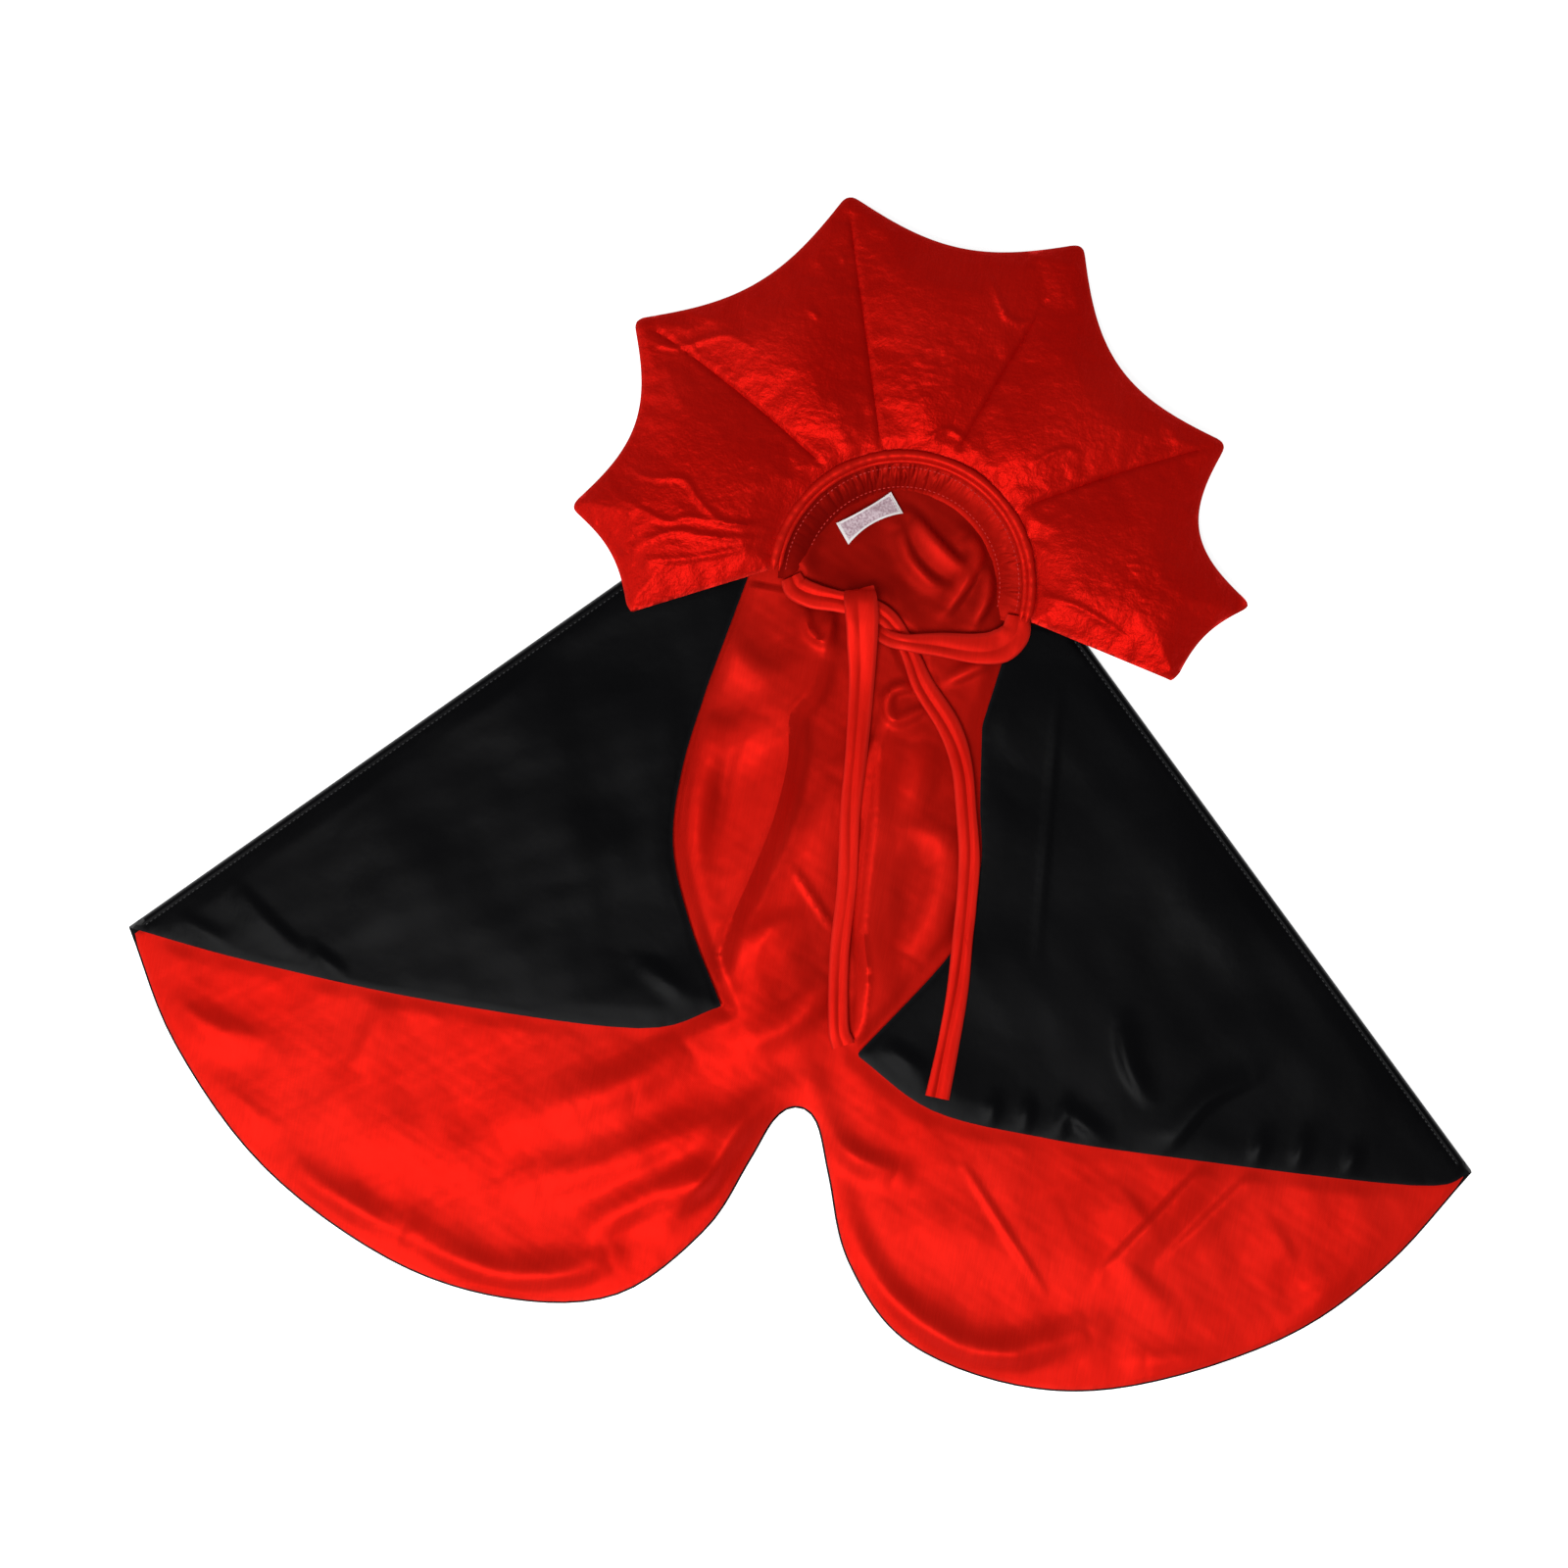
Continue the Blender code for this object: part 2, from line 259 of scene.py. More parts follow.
def fold(plan, points, height, left, right):
    """The height of a fold in cloth along the points; left and right are how wide its flanks are."""
    line = smooth(points, 4)
    reach = 3 * max(left, right)
    near = np.all((plan > line.min(0) - reach) & (plan < line.max(0) + reach), axis=1)
    spot = plan[near]
    best = np.full(len(spot), np.inf)
    across = np.zeros(len(spot))
    along = np.zeros(len(spot))
    steps = np.linalg.norm(np.diff(line, axis=0), axis=1)
    start = np.concatenate([[0], np.cumsum(steps)])
    for a, step, length, begin in zip(line, np.diff(line, axis=0), steps, start):
        t = np.clip((spot - a) @ step / length**2, 0, 1)
        off = spot - a - t[:, None] * step
        distance = np.hypot(*off.T)
        nearer = distance < best
        best = np.where(nearer, distance, best)
        side = (step[0] * (spot[:, 1] - a[1]) - step[1] * (spot[:, 0] - a[0])) / length
        across = np.where(nearer, side, across)
        along = np.where(nearer, begin + t * length, along)
    width = (left + right) / 2 + (left - right) / 2 * np.tanh(across / 2.5)
    taper = np.sqrt(np.sin(math.pi * np.clip(along / start[-1], 0.03, 0.97)))
    raised = np.zeros(len(plan))
    raised[near] = height * taper * np.exp(-((best / width) ** 2))
    return raised


def folds(plan, several):
    """The heights of several folds together."""
    return sum(fold(plan, *one) for one in several)


# ---------------------------------------------------------------- meshes


def new_piece(name, points, faces, finish, rim=None, painted_shade=None):
    """A smooth-shaded mesh object of plan points.

    Two attributes steer its finish: rim, the distance from the edge in millimetres, and a second one
    that says how far painted shade darkens the colour there.
    """
    mesh = bpy.data.meshes.new(name)
    mesh.from_pydata([tuple(point) for point in to_row(points)], [], faces)
    mesh.shade_smooth()
    mesh.set_sharp_from_angle(angle=math.radians(55))
    rim = np.full(len(points), NO_RIM) if rim is None else rim
    painted_shade = np.zeros(len(points)) if painted_shade is None else painted_shade
    for key, values in (("rim", rim), ("painted_shade", painted_shade)):
        mesh.attributes.new(key, "FLOAT", "POINT").data.foreach_set("value", values.astype(np.float32))
    mesh.materials.append(finish)
    made = bpy.data.objects.new(name, mesh)
    bpy.context.collection.objects.link(made)
    return made


def filled(outline, spacing, lines=()):
    """Triangles that fill an outline, as plan points, faces, and each point's rim distance.

    The points are about spacing apart, and the triangles' edges follow the lines.
    """
    rim = evenly(outline, spacing, closed=True)
    fixed = [rim]
    edges = [(index, (index + 1) % len(rim)) for index in range(len(rim))]
    for line in lines:
        first = sum(len(part) for part in fixed)
        fixed.append(evenly(line, spacing))
        edges += [(first + step, first + step + 1) for step in range(len(fixed[-1]) - 1)]
    fixed = np.vstack(fixed)
    low, high = rim.min(0), rim.max(0)
    rows = []
    for row, y in enumerate(np.arange(low[1], high[1], spacing * math.sqrt(3) / 2)):
        x = np.arange(low[0] + (row % 2) * spacing / 2, high[0], spacing)
        rows.append(np.stack([x, np.full(len(x), y)], axis=1))
    grid = np.vstack(rows)
    grid = grid[inside(grid, rim)]
    everything = np.vstack([fixed, grid[nearest(grid, fixed) > 0.6 * spacing]])
    made = delaunay_2d_cdt([Vector(point) for point in everything], edges, [], 1, 1e-5)
    plan = np.array([tuple(point) for point in made[0]])
    faces = np.array([face for face in made[2]])
    a, b, c = (plan[faces[:, k]] for k in range(3))
    turn = (b[:, 0] - a[:, 0]) * (c[:, 1] - a[:, 1]) - (b[:, 1] - a[:, 1]) * (c[:, 0] - a[:, 0])
    faces = faces[np.abs(turn) > 1e-6]
    turn = turn[np.abs(turn) > 1e-6]
    faces[turn < 0] = faces[turn < 0][:, ::-1]
    return plan, faces, rim_distance(plan, outline)


def border(faces):
    """The directed edges that only one face uses."""
    found = set()
    for a, b, c in faces:
        found ^= {(a, b), (b, c), (c, a)}
    return [(a, b) for a, b in found if (b, a) not in found]


def closed_between(name, plan, faces, rim, top, bottom, finish, painted_shade=None):
    """A closed mesh between two heights over the same triangles."""
    count = len(plan)
    points = np.vstack([np.column_stack([plan, top]), np.column_stack([plan, bottom])])
    walls = [(b, a, a + count, b + count) for a, b in border(faces)]
    every = faces.tolist() + (faces[:, ::-1] + count).tolist() + walls
    painted_shade = np.zeros(count) if painted_shade is None else painted_shade
    return new_piece(name, points, every, finish, np.tile(rim, 2), np.tile(painted_shade, 2))


def closed_sheet(name, outline, spacing, height, thickness, finish, lines=(), painted_shade=None):
    """One layer of cloth as a closed mesh: its top at height(plan, rim), thinner along its edge."""
    plan, faces, rim = filled(outline, spacing, lines)
    top = height(plan, rim)
    bottom = top - thickness * (0.35 + 0.65 * ease(rim, 0.0, 2.0))
    # the painted shade of each point, if there is any
    turned = painted_shade(plan) if painted_shade else None
    return closed_between(name, plan, faces, rim, top, bottom, finish, turned)


def tube(name, line, radii, finish, sides):
    """A closed tube along plan points with heights, its radius given at each point."""
    line = np.asarray(line, float)
    ahead = np.gradient(line, axis=0)
    ahead /= np.linalg.norm(ahead, axis=1)[:, None]
    level = np.cross([0, 0, 1], ahead)
    level /= np.linalg.norm(level, axis=1)[:, None]
    upright = np.cross(ahead, level)
    angles = np.arange(sides) * TAU / sides
    cosine, sine = np.cos(angles)[None, :, None], np.sin(angles)[None, :, None]
    around = cosine * level[:, None] + sine * upright[:, None]
    return loft(name, line[:, None] + around * radii[:, None, None], finish)


def loft(name, rings, finish, rim=None, painted_shade=None):
    """A closed mesh through rings of points, with a flat cap at each end."""
    count, sides = rings.shape[:2]
    faces = []
    for step in range(count - 1):
        for side in range(sides):
            other = (side + 1) % sides
            lower, upper = step * sides, (step + 1) * sides
            faces.append((lower + side, lower + other, upper + other, upper + side))
    faces.append(tuple(range(sides))[::-1])
    faces.append(tuple(range((count - 1) * sides, count * sides)))
    return new_piece(name, rings.reshape(-1, 3), faces, finish, rim, painted_shade)


def stitches(name, line, pitch, finish):
    """A row of short stitches, as one mesh of small spindles, along plan points with heights."""
    spots = evenly(line, pitch)
    ahead = np.gradient(spots, axis=0)
    ahead /= np.linalg.norm(ahead, axis=1)[:, None]
    side = np.cross([0, 0, 1], ahead)
    angles = np.arange(5) * TAU / 5
    points = []
    faces = []
    for spot, along, across in zip(spots, ahead, side):
        first = len(points)
        points.append(spot - 0.36 * pitch * along - np.array([0, 0, 0.3]))
        for share in (-0.2, 0.2):
            for angle in angles:
                round_it = math.cos(angle) * across + np.array([0, 0, math.sin(angle)])
                points.append(spot + share * pitch * along + STITCH_RADIUS * round_it)
        points.append(spot + 0.36 * pitch * along - np.array([0, 0, 0.3]))
        for k in range(5):
            a, b = first + 1 + k, first + 1 + (k + 1) % 5
            faces += [(first, a, b), (a, a + 5, b + 5, b), (first + 11, b + 5, a + 5)]
    return new_piece(name, np.array(points), faces, finish)


# ---------------------------------------------------------------- materials


def node(tree, kind, **values):
    """A shader node with its properties and inputs set by name."""
    made = tree.nodes.new(kind)
    for key, value in values.items():
        if hasattr(made, key):
            setattr(made, key, value)
        else:
            made.inputs[key.replace("_", " ")].default_value = value
    return made


def between(tree, source, low, high, to_low, to_high):
    """A Map Range node from a texture's output."""
    made = node(tree, "ShaderNodeMapRange")
    for key, value in (("From Min", low), ("From Max", high), ("To Min", to_low), ("To Max", to_high)):
        made.inputs[key].default_value = value
    tree.links.new(source, made.inputs["Value"])
    return made.outputs["Result"]


def mixed(tree, factor, first, second):
    """A colour mix; each of first and second is a colour or another node's output."""
    made = node(tree, "ShaderNodeMix", data_type="RGBA")
    tree.links.new(factor, made.inputs["Factor"])
    for socket, value in ((made.inputs[6], first), (made.inputs[7], second)):
        if isinstance(value, tuple):
            socket.default_value = (*value, 1.0)
        else:
            tree.links.new(value, socket)
    return made.outputs[2]


def new_material(name):
    """A material, its node tree, its shader, and the node output that says where on the cape it is."""
    material = bpy.data.materials.new(name)
    material.use_nodes = True
    tree = material.node_tree
    return material, tree, tree.nodes["Principled BSDF"], node(tree, "ShaderNodeTexCoord").outputs["Object"]


def texture(tree, kind, place, **values):
    """The output of a procedural texture laid over the place."""
    made = node(tree, kind, **values)
    tree.links.new(place, made.inputs["Vector"])
    return made.outputs["Fac"]


def bump(tree, height, strength, distance, below=None):
    """The normals of a bump, on top of those of another."""
    made = node(tree, "ShaderNodeBump", Strength=strength, Distance=distance)
    tree.links.new(height, made.inputs["Height"])
    if below is not None:
        tree.links.new(below, made.inputs["Normal"])
    return made.outputs["Normal"]


def satin(name, bright, deep, worn, gloss, roughness, crinkle, crinkle_size):
    """Woven satin: fine threads, slubs along the warp, soft colour changes, and wear along the edge.

    Its colour is darkened by painted shade as far as the shade attribute says. gloss is its metallic
    share, its specular level and the tint of its reflections.
    """
    material, tree, shader, place = new_material(name)
    metallic, specular, tint = gloss
    shader.inputs["Metallic"].default_value = metallic
    shader.inputs["Specular IOR Level"].default_value = specular
    shader.inputs["Specular Tint"].default_value = (*tint, 1.0)
    shader.inputs["Sheen Weight"].default_value = 0.02
    shader.inputs["Sheen Roughness"].default_value = 0.35
    shader.inputs["Sheen Tint"].default_value = (*worn, 1.0)

    patches = texture(tree, "ShaderNodeTexNoise", place, Scale=11.0, Detail=3.0, Roughness=0.55)
    colour = mixed(tree, between(tree, patches, 0.35, 0.65, 0.0, 1.0), deep, bright)

    stretch = node(tree, "ShaderNodeMapping")
    stretch.inputs["Scale"].default_value = (1400.0, 60.0, 60.0)
    tree.links.new(place, stretch.inputs["Vector"])
    slubs = texture(tree, "ShaderNodeTexNoise", stretch.outputs["Vector"], Scale=1.0, Detail=2.0)
    darker = tuple(0.72 * channel for channel in deep)
    colour = mixed(tree, between(tree, slubs, 0.30, 0.75, 0.28, 0.0), colour, darker)
    # Painted shade: the colour goes towards a dark red, a third of the deep one, where the shade attribute
    # says.
    painted_shade = node(tree, "ShaderNodeAttribute", attribute_name="painted_shade").outputs["Fac"]
    turned = tuple(0.36 * channel for channel in deep)
    colour = mixed(tree, painted_shade, colour, turned)

    rim = node(tree, "ShaderNodeAttribute", attribute_name="rim").outputs["Fac"]
    colour = mixed(tree, between(tree, rim, 0.0, 2.2, 0.35, 0.0), colour, worn)
    tree.links.new(colour, shader.inputs["Base Color"])
    rough = between(tree, patches, 0.3, 0.7, roughness - 0.04, roughness + 0.05)
    tree.links.new(rough, shader.inputs["Roughness"])

    wave = {"Scale": 620.0, "Distortion": 1.2, "bands_direction": "DIAGONAL"}
    weave = bump(tree, texture(tree, "ShaderNodeTexWave", place, **wave), 0.25, 0.00006)
    lines = bump(tree, slubs, 0.30, 0.00010, weave)
    wrinkles = texture(tree, "ShaderNodeTexNoise", place, Scale=crinkle_size, Detail=4.0, Roughness=0.6)
    tree.links.new(bump(tree, wrinkles, crinkle, 0.0012, lines), shader.inputs["Normal"])
    return material


def label_tape():
    """Woven label tape: a white border round a greyish pink field, with fine crosswise threads."""
    material, tree, shader, place = new_material("label_tape_woven")
    shader.inputs["Roughness"].default_value = 0.62
    shader.inputs["Sheen Weight"].default_value = 0.2
    mottle = texture(tree, "ShaderNodeTexNoise", place, Scale=900.0, Detail=2.0)
    field = mixed(tree, between(tree, mottle, 0.35, 0.65, 0.0, 1.0), (0.42, 0.27, 0.32), (0.72, 0.58, 0.63))
    rim = node(tree, "ShaderNodeAttribute", attribute_name="rim").outputs["Fac"]
    colour = mixed(tree, between(tree, rim, 1.0, 1.7, 0.0, 1.0), (0.88, 0.85, 0.85), field)
    tree.links.new(colour, shader.inputs["Base Color"])
    threads = texture(tree, "ShaderNodeTexWave", place, Scale=900.0)
    tree.links.new(bump(tree, threads, 0.5, 0.0001), shader.inputs["Normal"])
    return material


def thread(name, colour):
    """Twisted sewing thread."""
    material, tree, shader, place = new_material(name)
    shader.inputs["Roughness"].default_value = 0.55
    twist = texture(tree, "ShaderNodeTexWave", place, Scale=1600.0, Distortion=0.5)
    paler = tuple(min(1.0, 1.6 * channel + 0.01) for channel in colour)
    tree.links.new(mixed(tree, twist, colour, paler), shader.inputs["Base Color"])
    return material


# ---------------------------------------------------------------- camera, floor and light


VIEW_CENTRE = (-0.0323, -0.0089)  # where the camera stands, from the middle of the CAD box
VIEW_HEIGHT = 2.495
VIEW_TURN = math.radians(10.25)


def build_camera():
    """Straight above the cape, turned so that the cape lies as it does in the photograph."""
    low, high = cad_box
    centre = (low + high) / 2
    scene = bpy.context.scene
    data = bpy.data.cameras.new("camera")
    data.sensor_width = 36.0
    data.lens = 112.5
    data.clip_end = 20.0
    camera = bpy.data.objects.new("camera", data)
    camera.location = (centre.x + VIEW_CENTRE[0], centre.y + VIEW_CENTRE[1], VIEW_HEIGHT)
    camera.rotation_euler = (0.0, 0.0, VIEW_TURN)
    scene.collection.objects.link(camera)
    scene.camera = camera


def build_stage():
    """A pale floor, a white room, a large soft light on the hem's side and a weak one on the left."""
    scene = bpy.context.scene
    scene.view_settings.view_transform = "Standard"
    world = bpy.data.worlds.new("room")
    world.use_nodes = True
    world.node_tree.nodes["Background"].inputs["Color"].default_value = (1.0, 1.0, 1.0, 1.0)
    world.node_tree.nodes["Background"].inputs["Strength"].default_value = 0.35
    scene.world = world
    builder = bmesh.new()
    bmesh.ops.create_grid(builder, x_segments=8, y_segments=8, size=4.0)
    mesh = bpy.data.meshes.new("floor")
    builder.to_mesh(mesh)
    builder.free()
    floor = bpy.data.objects.new("floor", mesh)
    floor.location.z = -0.0004
    paper = bpy.data.materials.new("paper")
    paper.use_nodes = True
    shader = paper.node_tree.nodes["Principled BSDF"]
    shader.inputs["Base Color"].default_value = (0.95, 0.95, 0.95, 1.0)
    shader.inputs["Roughness"].default_value = 0.9
    shader.inputs["Emission Color"].default_value = (1.0, 1.0, 1.0, 1.0)
    shader.inputs["Emission Strength"].default_value = 0.75
    mesh.materials.append(paper)
    scene.collection.objects.link(floor)
    for name, place, size, power in (
        ("key", (-0.28, -0.92, 1.75), 1.0, 24.5),
        ("side", (-1.6, -0.2, 1.2), 0.8, 5.0),
    ):
        data = bpy.data.lights.new(name, "AREA")
        data.size = size
        data.energy = power
        light = bpy.data.objects.new(name, data)
        light.location = place
        light.rotation_euler = (-Vector(place)).to_track_quat("-Z", "Y").to_euler()
        light.visible_camera = False
        scene.collection.objects.link(light)


# ---------------------------------------------------------------- ties


# A tie's cross-section: places across its half width, and the top's height there as a share of half
# its thickness. The doubled cloth has a fold along each edge and a seam just beside its middle.
RIBBON_ACROSS = np.array([-1.0, -0.93, -0.78, -0.45, -0.16, -0.04, 0.06, 0.20, 0.50, 0.80, 0.94, 1.0])
RIBBON_TOP = np.array([0.0, 0.62, 0.85, 0.92, 0.90, 0.0, 0.0, 1.0, 1.0, 0.88, 0.62, 0.0])
RIBBON_SEAM = np.array([0.0, 0.0, 0.0, 0.0, 0.0, 1.0, 1.0, 0.0, 0.0, 0.0, 0.0, 0.0])


def ribbon_rings(route, widths, groove, steps=6):
    """Cross-sections of a folded ribbon along a route, and each point's distance from its edge."""
    line = smooth(route, steps)
    width = np.interp(np.linspace(0, 1, len(line)), np.linspace(0, 1, len(widths)), widths)
    ahead = np.gradient(line, axis=0)
    ahead /= np.linalg.norm(ahead, axis=1)[:, None]
    level = []
    for direction in ahead:
        side = np.cross([0, 0, 1], direction)
        last = level[-1] if level else side
        steep = np.linalg.norm(side) < 0.35
        side = last - direction * np.dot(last, direction) if steep else side
        side = side / np.linalg.norm(side)
        level.append(side if np.dot(side, last) >= 0 else -side)
    level = np.array(level)
    upright = np.cross(ahead, level)
    upright *= np.where(upright[:, 2] < 0, -1, 1)[:, None]
    across = np.concatenate([RIBBON_ACROSS, RIBBON_ACROSS[-2:0:-1]])
    raised = np.concatenate([RIBBON_TOP + groove * RIBBON_SEAM, -0.8 * np.ones(len(RIBBON_ACROSS) - 2)])
    raised[len(RIBBON_ACROSS)] = raised[-1] = -0.6
    along = np.arange(len(line))[:, None]
    slip = 0.16 * np.sin(along * 0.11) + 0.07 * np.sin(along * 0.29 + 2.0)
    slipped = across[None] + slip * (1 - across[None] ** 2)
    sway = 0.16 * np.sin(along * 0.31) + 0.12 * np.sin(along * 0.83 + 1.0)
    buckle = 0.5 * np.sin(along * 0.47 + 3 * across[None]) * (1 - across[None] ** 2) * (raised[None] > 0)
    lift = (raised[None] + 0.35 * buckle) * TIE_THICKNESS / 2 * (1 + sway)
    rings = (
        line[:, None]
        + level[:, None] * (slipped * (width / 2)[:, None])[:, :, None]
        + upright[:, None] * lift[:, :, None]
    )
    return line, rings, ((1 - np.abs(across[None])) * (width / 2)[:, None]).ravel()


def build_tie(name, node_name, route, widths, groove, red):
    """A tie of doubled satin; groove is the height left at its seam, as a share of half its thickness."""
    line, rings, rim = ribbon_rings(route, widths, groove)
    tie = loft(name, rings, red, rim)
    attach(tie, "back")
    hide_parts(node_name)


def under_ties(plan, top):
    """The cloth's top, pressed down wherever a tie lies on it."""
    pressed = np.array(top, float)
    for route, widths in ((RIGHT_ROOT_TIE, RIGHT_ROOT_WIDTHS), (LEFT_ROOT_TIE, LEFT_ROOT_WIDTHS)):
        line = evenly(smooth(route, 5), 2.5)
        share = np.linspace(0, 1, len(line))
        half = np.interp(share, np.linspace(0, 1, len(widths)), widths) / 2
        for start in range(0, len(plan), 6000):
            part = slice(start, start + 6000)
            away = np.linalg.norm(plan[part, None] - line[None, :, :2], axis=2)
            limit = line[None, :, 2] - 0.6 * TIE_THICKNESS - 0.3 + 0.9 * np.clip(away - half - 0.8, 0, None)
            pressed[part] = np.minimum(pressed[part], limit.min(1))
    return pressed


# ---------------------------------------------------------------- back panel

# Folds of the lining: points, height, and the widths of the flanks left and right of the line. The
# two long folds of the middle each carry a low, sharp crest, and folds this low have mesh edges along them.
CREST_MOST = 1.2
LEFT_MIDDLE = [(-27, 232), (-30, 212), (-38, 196), (-35, 173), (-37, 142), (-43, 113), (-48, 92)]
LEFT_MIDDLE += [(-52, 70), (-46, 50)]
RIGHT_MIDDLE = [(11, 199), (9, 179), (10, 163), (14, 147), (14, 118), (20, 88), (25, 71), (27, 42)]
CENTRE_FOLDS = [
    (LEFT_MIDDLE, 5.6, 7, 15),
    (LEFT_MIDDLE, 1.1, 1.5, 1.7),
    (RIGHT_MIDDLE, 1.0, 1.5, 1.5),
    ([(-54, 196), (-58, 168), (-56, 140), (-60, 112)], 1.6, 8, 5),
    (RIGHT_MIDDLE, 4.5, 13, 5),
    ([(-4, 172), (-18, 124), (-33, 66), (-36, 20)], 2.6, 16, 9),
    ([(-24, 121), (1, 94)], 0.9, 1.8, 1.8),
    ([(-40, 250), (-36, 240), (-27, 236), (-26, 249)], 2.4, 2.2, 2.6),
    ([(30, 224), (12, 218), (10, 208), (16, 203), (30, 212)], 2.6, 2.4, 2.6),
    ([(56, 240), (38, 227)], 2.0, 2.6, 4),
    ([(-84, 176), (-64, 180), (-50, 196)], 1.4, 8, 12),
    ([(-84, 230), (-62, 214), (-46, 214)], 2.0, 8, 14),
    ([(-74, 182), (-76, 140), (-64, 96), (-54, 74)], 2.6, 8, 7),
    ([(30, 196), (32, 172), (26, 146)], 1.7, 9, 7),
    ([(48, 156), (53, 122), (44, 84)], 2.0, 10, 7),
    ([(24, 146), (40, 150), (54, 144)], 1.3, 6, 9),
    ([(-58, 62), (-34, 84), (-10, 96)], 2.0, 7, 9),
    ([(-30, 26), (-8, 44), (6, 70)], 2.0, 8, 8),
]
BOWL_FOLDS = [
    ([(5, 307), (20, 295), (36, 284)], 3.0, 2.2, 8),
    ([(0, 300), (4, 291), (10, 283), (20, 276), (28, 274)], 2.3, 2.2, 5),
    ([(34, 304), (42, 294), (38, 278), (31, 262)], 3.0, 2.4, 6),
    ([(47, 290), (50, 274), (46, 258)], 2.6, 2.4, 5),
    ([(-42, 290), (-46, 276), (-38, 268)], 1.6, 5, 6),
    ([(-30, 266), (-12, 262), (4, 266)], 1.4, 6, 6),
]
LEFT_LOBE_FOLDS = [
    ([(4, 12), (-20, -12), (-36, -38), (-56, -66)], 3.9, 8, 11),
    ([(-28, -42), (-54, -50), (-76, -66), (-96, -84)], 3.2, 9, 10),
    ([(-18, -10), (-50, -22), (-92, -48), (-124, -60)], 2.9, 11, 11),
    ([(-178, -98), (-138, -112), (-104, -105), (-78, -90)], 3.6, 10, 9),
    ([(-250, -78), (-216, -90), (-184, -98)], 2.8, 9, 9),
    ([(-326, -4), (-300, -12), (-270, -16)], 1.7, 7, 10),
    ([(-224, -22), (-214, 14)], 0.9, 5, 9),
    ([(-112, -16), (-84, 0), (-58, 22)], 2.2, 10, 11),
    ([(-296, -40), (-262, -58)], 1.2, 7, 9),
    ([(-150, -40), (-120, -20), (-80, -8)], 1.6, 16, 14),
    ([(-240, -30), (-180, -52), (-140, -56)], 1.2, 18, 20),
]
RIGHT_LOBE_FOLDS = [
    ([(8, 4), (26, -16), (58, -24)], 3.4, 6, 8),
    ([(22, -22), (33, -52), (54, -80), (80, -98), (108, -110), (132, -107)], 3.6, 8, 8),
    ([(78, -90), (104, -104), (134, -101), (170, -84)], 3.4, 9, 9),
    ([(90, -14), (140, -68)], 0.9, 1.6, 2.4),
    ([(213, 10), (170, -54)], 1.9, 12, 2.0),
    ([(238, 12), (198, -45)], 1.2, 7, 2.0),
    ([(168, -12), (178, -20), (190, -30)], 0.7, 4, 10),
    ([(176, -50), (188, -56), (206, -68)], 0.9, 5, 11),
    ([(246, -14), (256, -24), (262, -34)], 0.6, 4, 9),
    ([(262, -50), (288, -32), (306, -14)], 0.9, 10, 14),
    ([(198, -98), (238, -90)], 2.6, 8, 7),
    ([(262, -70), (300, -34)], 2.2, 8, 7),
    ([(60, -40), (110, -52), (150, -30)], 1.4, 16, 18),
]

FOLD_LIFT = 1.45


def back_outline():
    """The back's outline, with its neck cut just inside the collar's ring."""
    return outline_of(
        smooth(LEFT_LOBE + [NOTCH_TOP] + RIGHT_LOBE),
        [RIGHT_SHOULDER],
        ring(COLLAR_INNER - 1, 12, 168, 40),
        [LEFT_SHOULDER],
    )


def front_outline(side):
    """The whole front, from the side fold to its free edge."""
    corner, shoulder, neck_end, edge, hem = {
        "left": (LEFT_CORNER, LEFT_SHOULDER, LEFT_NECK_END, LEFT_EDGE, LEFT_HEM),
        "right": (RIGHT_CORNER, RIGHT_SHOULDER, RIGHT_NECK_END, RIGHT_EDGE, RIGHT_HEM),
    }[side]
    return outline_of([corner, shoulder, neck_end], smooth(edge), smooth(hem))


def fold_directions(corner, shoulder):
    """Along a side fold from its corner, and inwards from it over the cape."""
    corner, shoulder = np.array(corner), np.array(shoulder)
    ahead = (shoulder - corner) / np.linalg.norm(shoulder - corner)
    inward = np.array([-ahead[1], ahead[0]])
    inward *= np.sign(np.dot(np.array([0.0, 100.0]) - corner, inward))
    return ahead, inward


def clear_of_fold(outline, corner, shoulder, distance):
    """The outline, moved in wherever it is nearer to a side fold than the distance."""
    inward = fold_directions(corner, shoulder)[1]
    short = np.clip(distance - (outline - corner) @ inward, 0, None)
    return outline + short[:, None] * inward


def clear_of_fronts(plan):
    """0 under the fronts, 1 from a little way outside them."""
    free = np.ones(len(plan))
    for side in ("left", "right"):
        outline = front_outline(side)
        covered = inside(plan, outline)
        free *= np.where(covered, 0.0, ease(rim_distance(plan, outline), 0.0, 9.0))
    return free


def back_relief(plan, rim):
    """How far the back's cloth rises above lying flat, in millimetres."""
    radius = np.hypot(*(plan - NECK).T)
    out = 1 - ease(radius, 56, 64) * (plan[:, 1] > NECK[1] - 12)
    raised = FOLD_LIFT * folds(plan, CENTRE_FOLDS + BOWL_FOLDS + LEFT_LOBE_FOLDS + RIGHT_LOBE_FOLDS)
    raised += 0.45 * (1 + waves(plan, 90, 3)) + 0.22 * (1 + waves(plan, 24, 4)) + 0.05 * waves(plan, 8, 5)
    raised += 1.2 * ease(plan[:, 1], 180, 250) * (1 - ease(plan[:, 1], 262, 290))
    edge = 0.25 + 0.75 * ease(rim, 0, 16)
    return np.maximum(raised * edge * out * clear_of_fronts(plan), 0)


def back_painted_shade(plan):
    """Painted shade: darker inside the neck, less so on the folds there, and in the hollows between the
    middle's folds.
    """
    within = (1 - ease(np.hypot(*(plan - NECK).T), 54, 66)) * ease(plan[:, 1], 238, 262)
    ridges = ease(folds(plan, BOWL_FOLDS), 0.8, 2.6)
    strip = ease(plan[:, 1], 20, 60) * (1 - ease(plan[:, 1], 238, 262))
    hollow = 1 - ease(folds(plan, CENTRE_FOLDS), 0.3, 2.2)
    return 0.80 * within * (1 - 0.7 * ridges) + 0.5 * strip * hollow


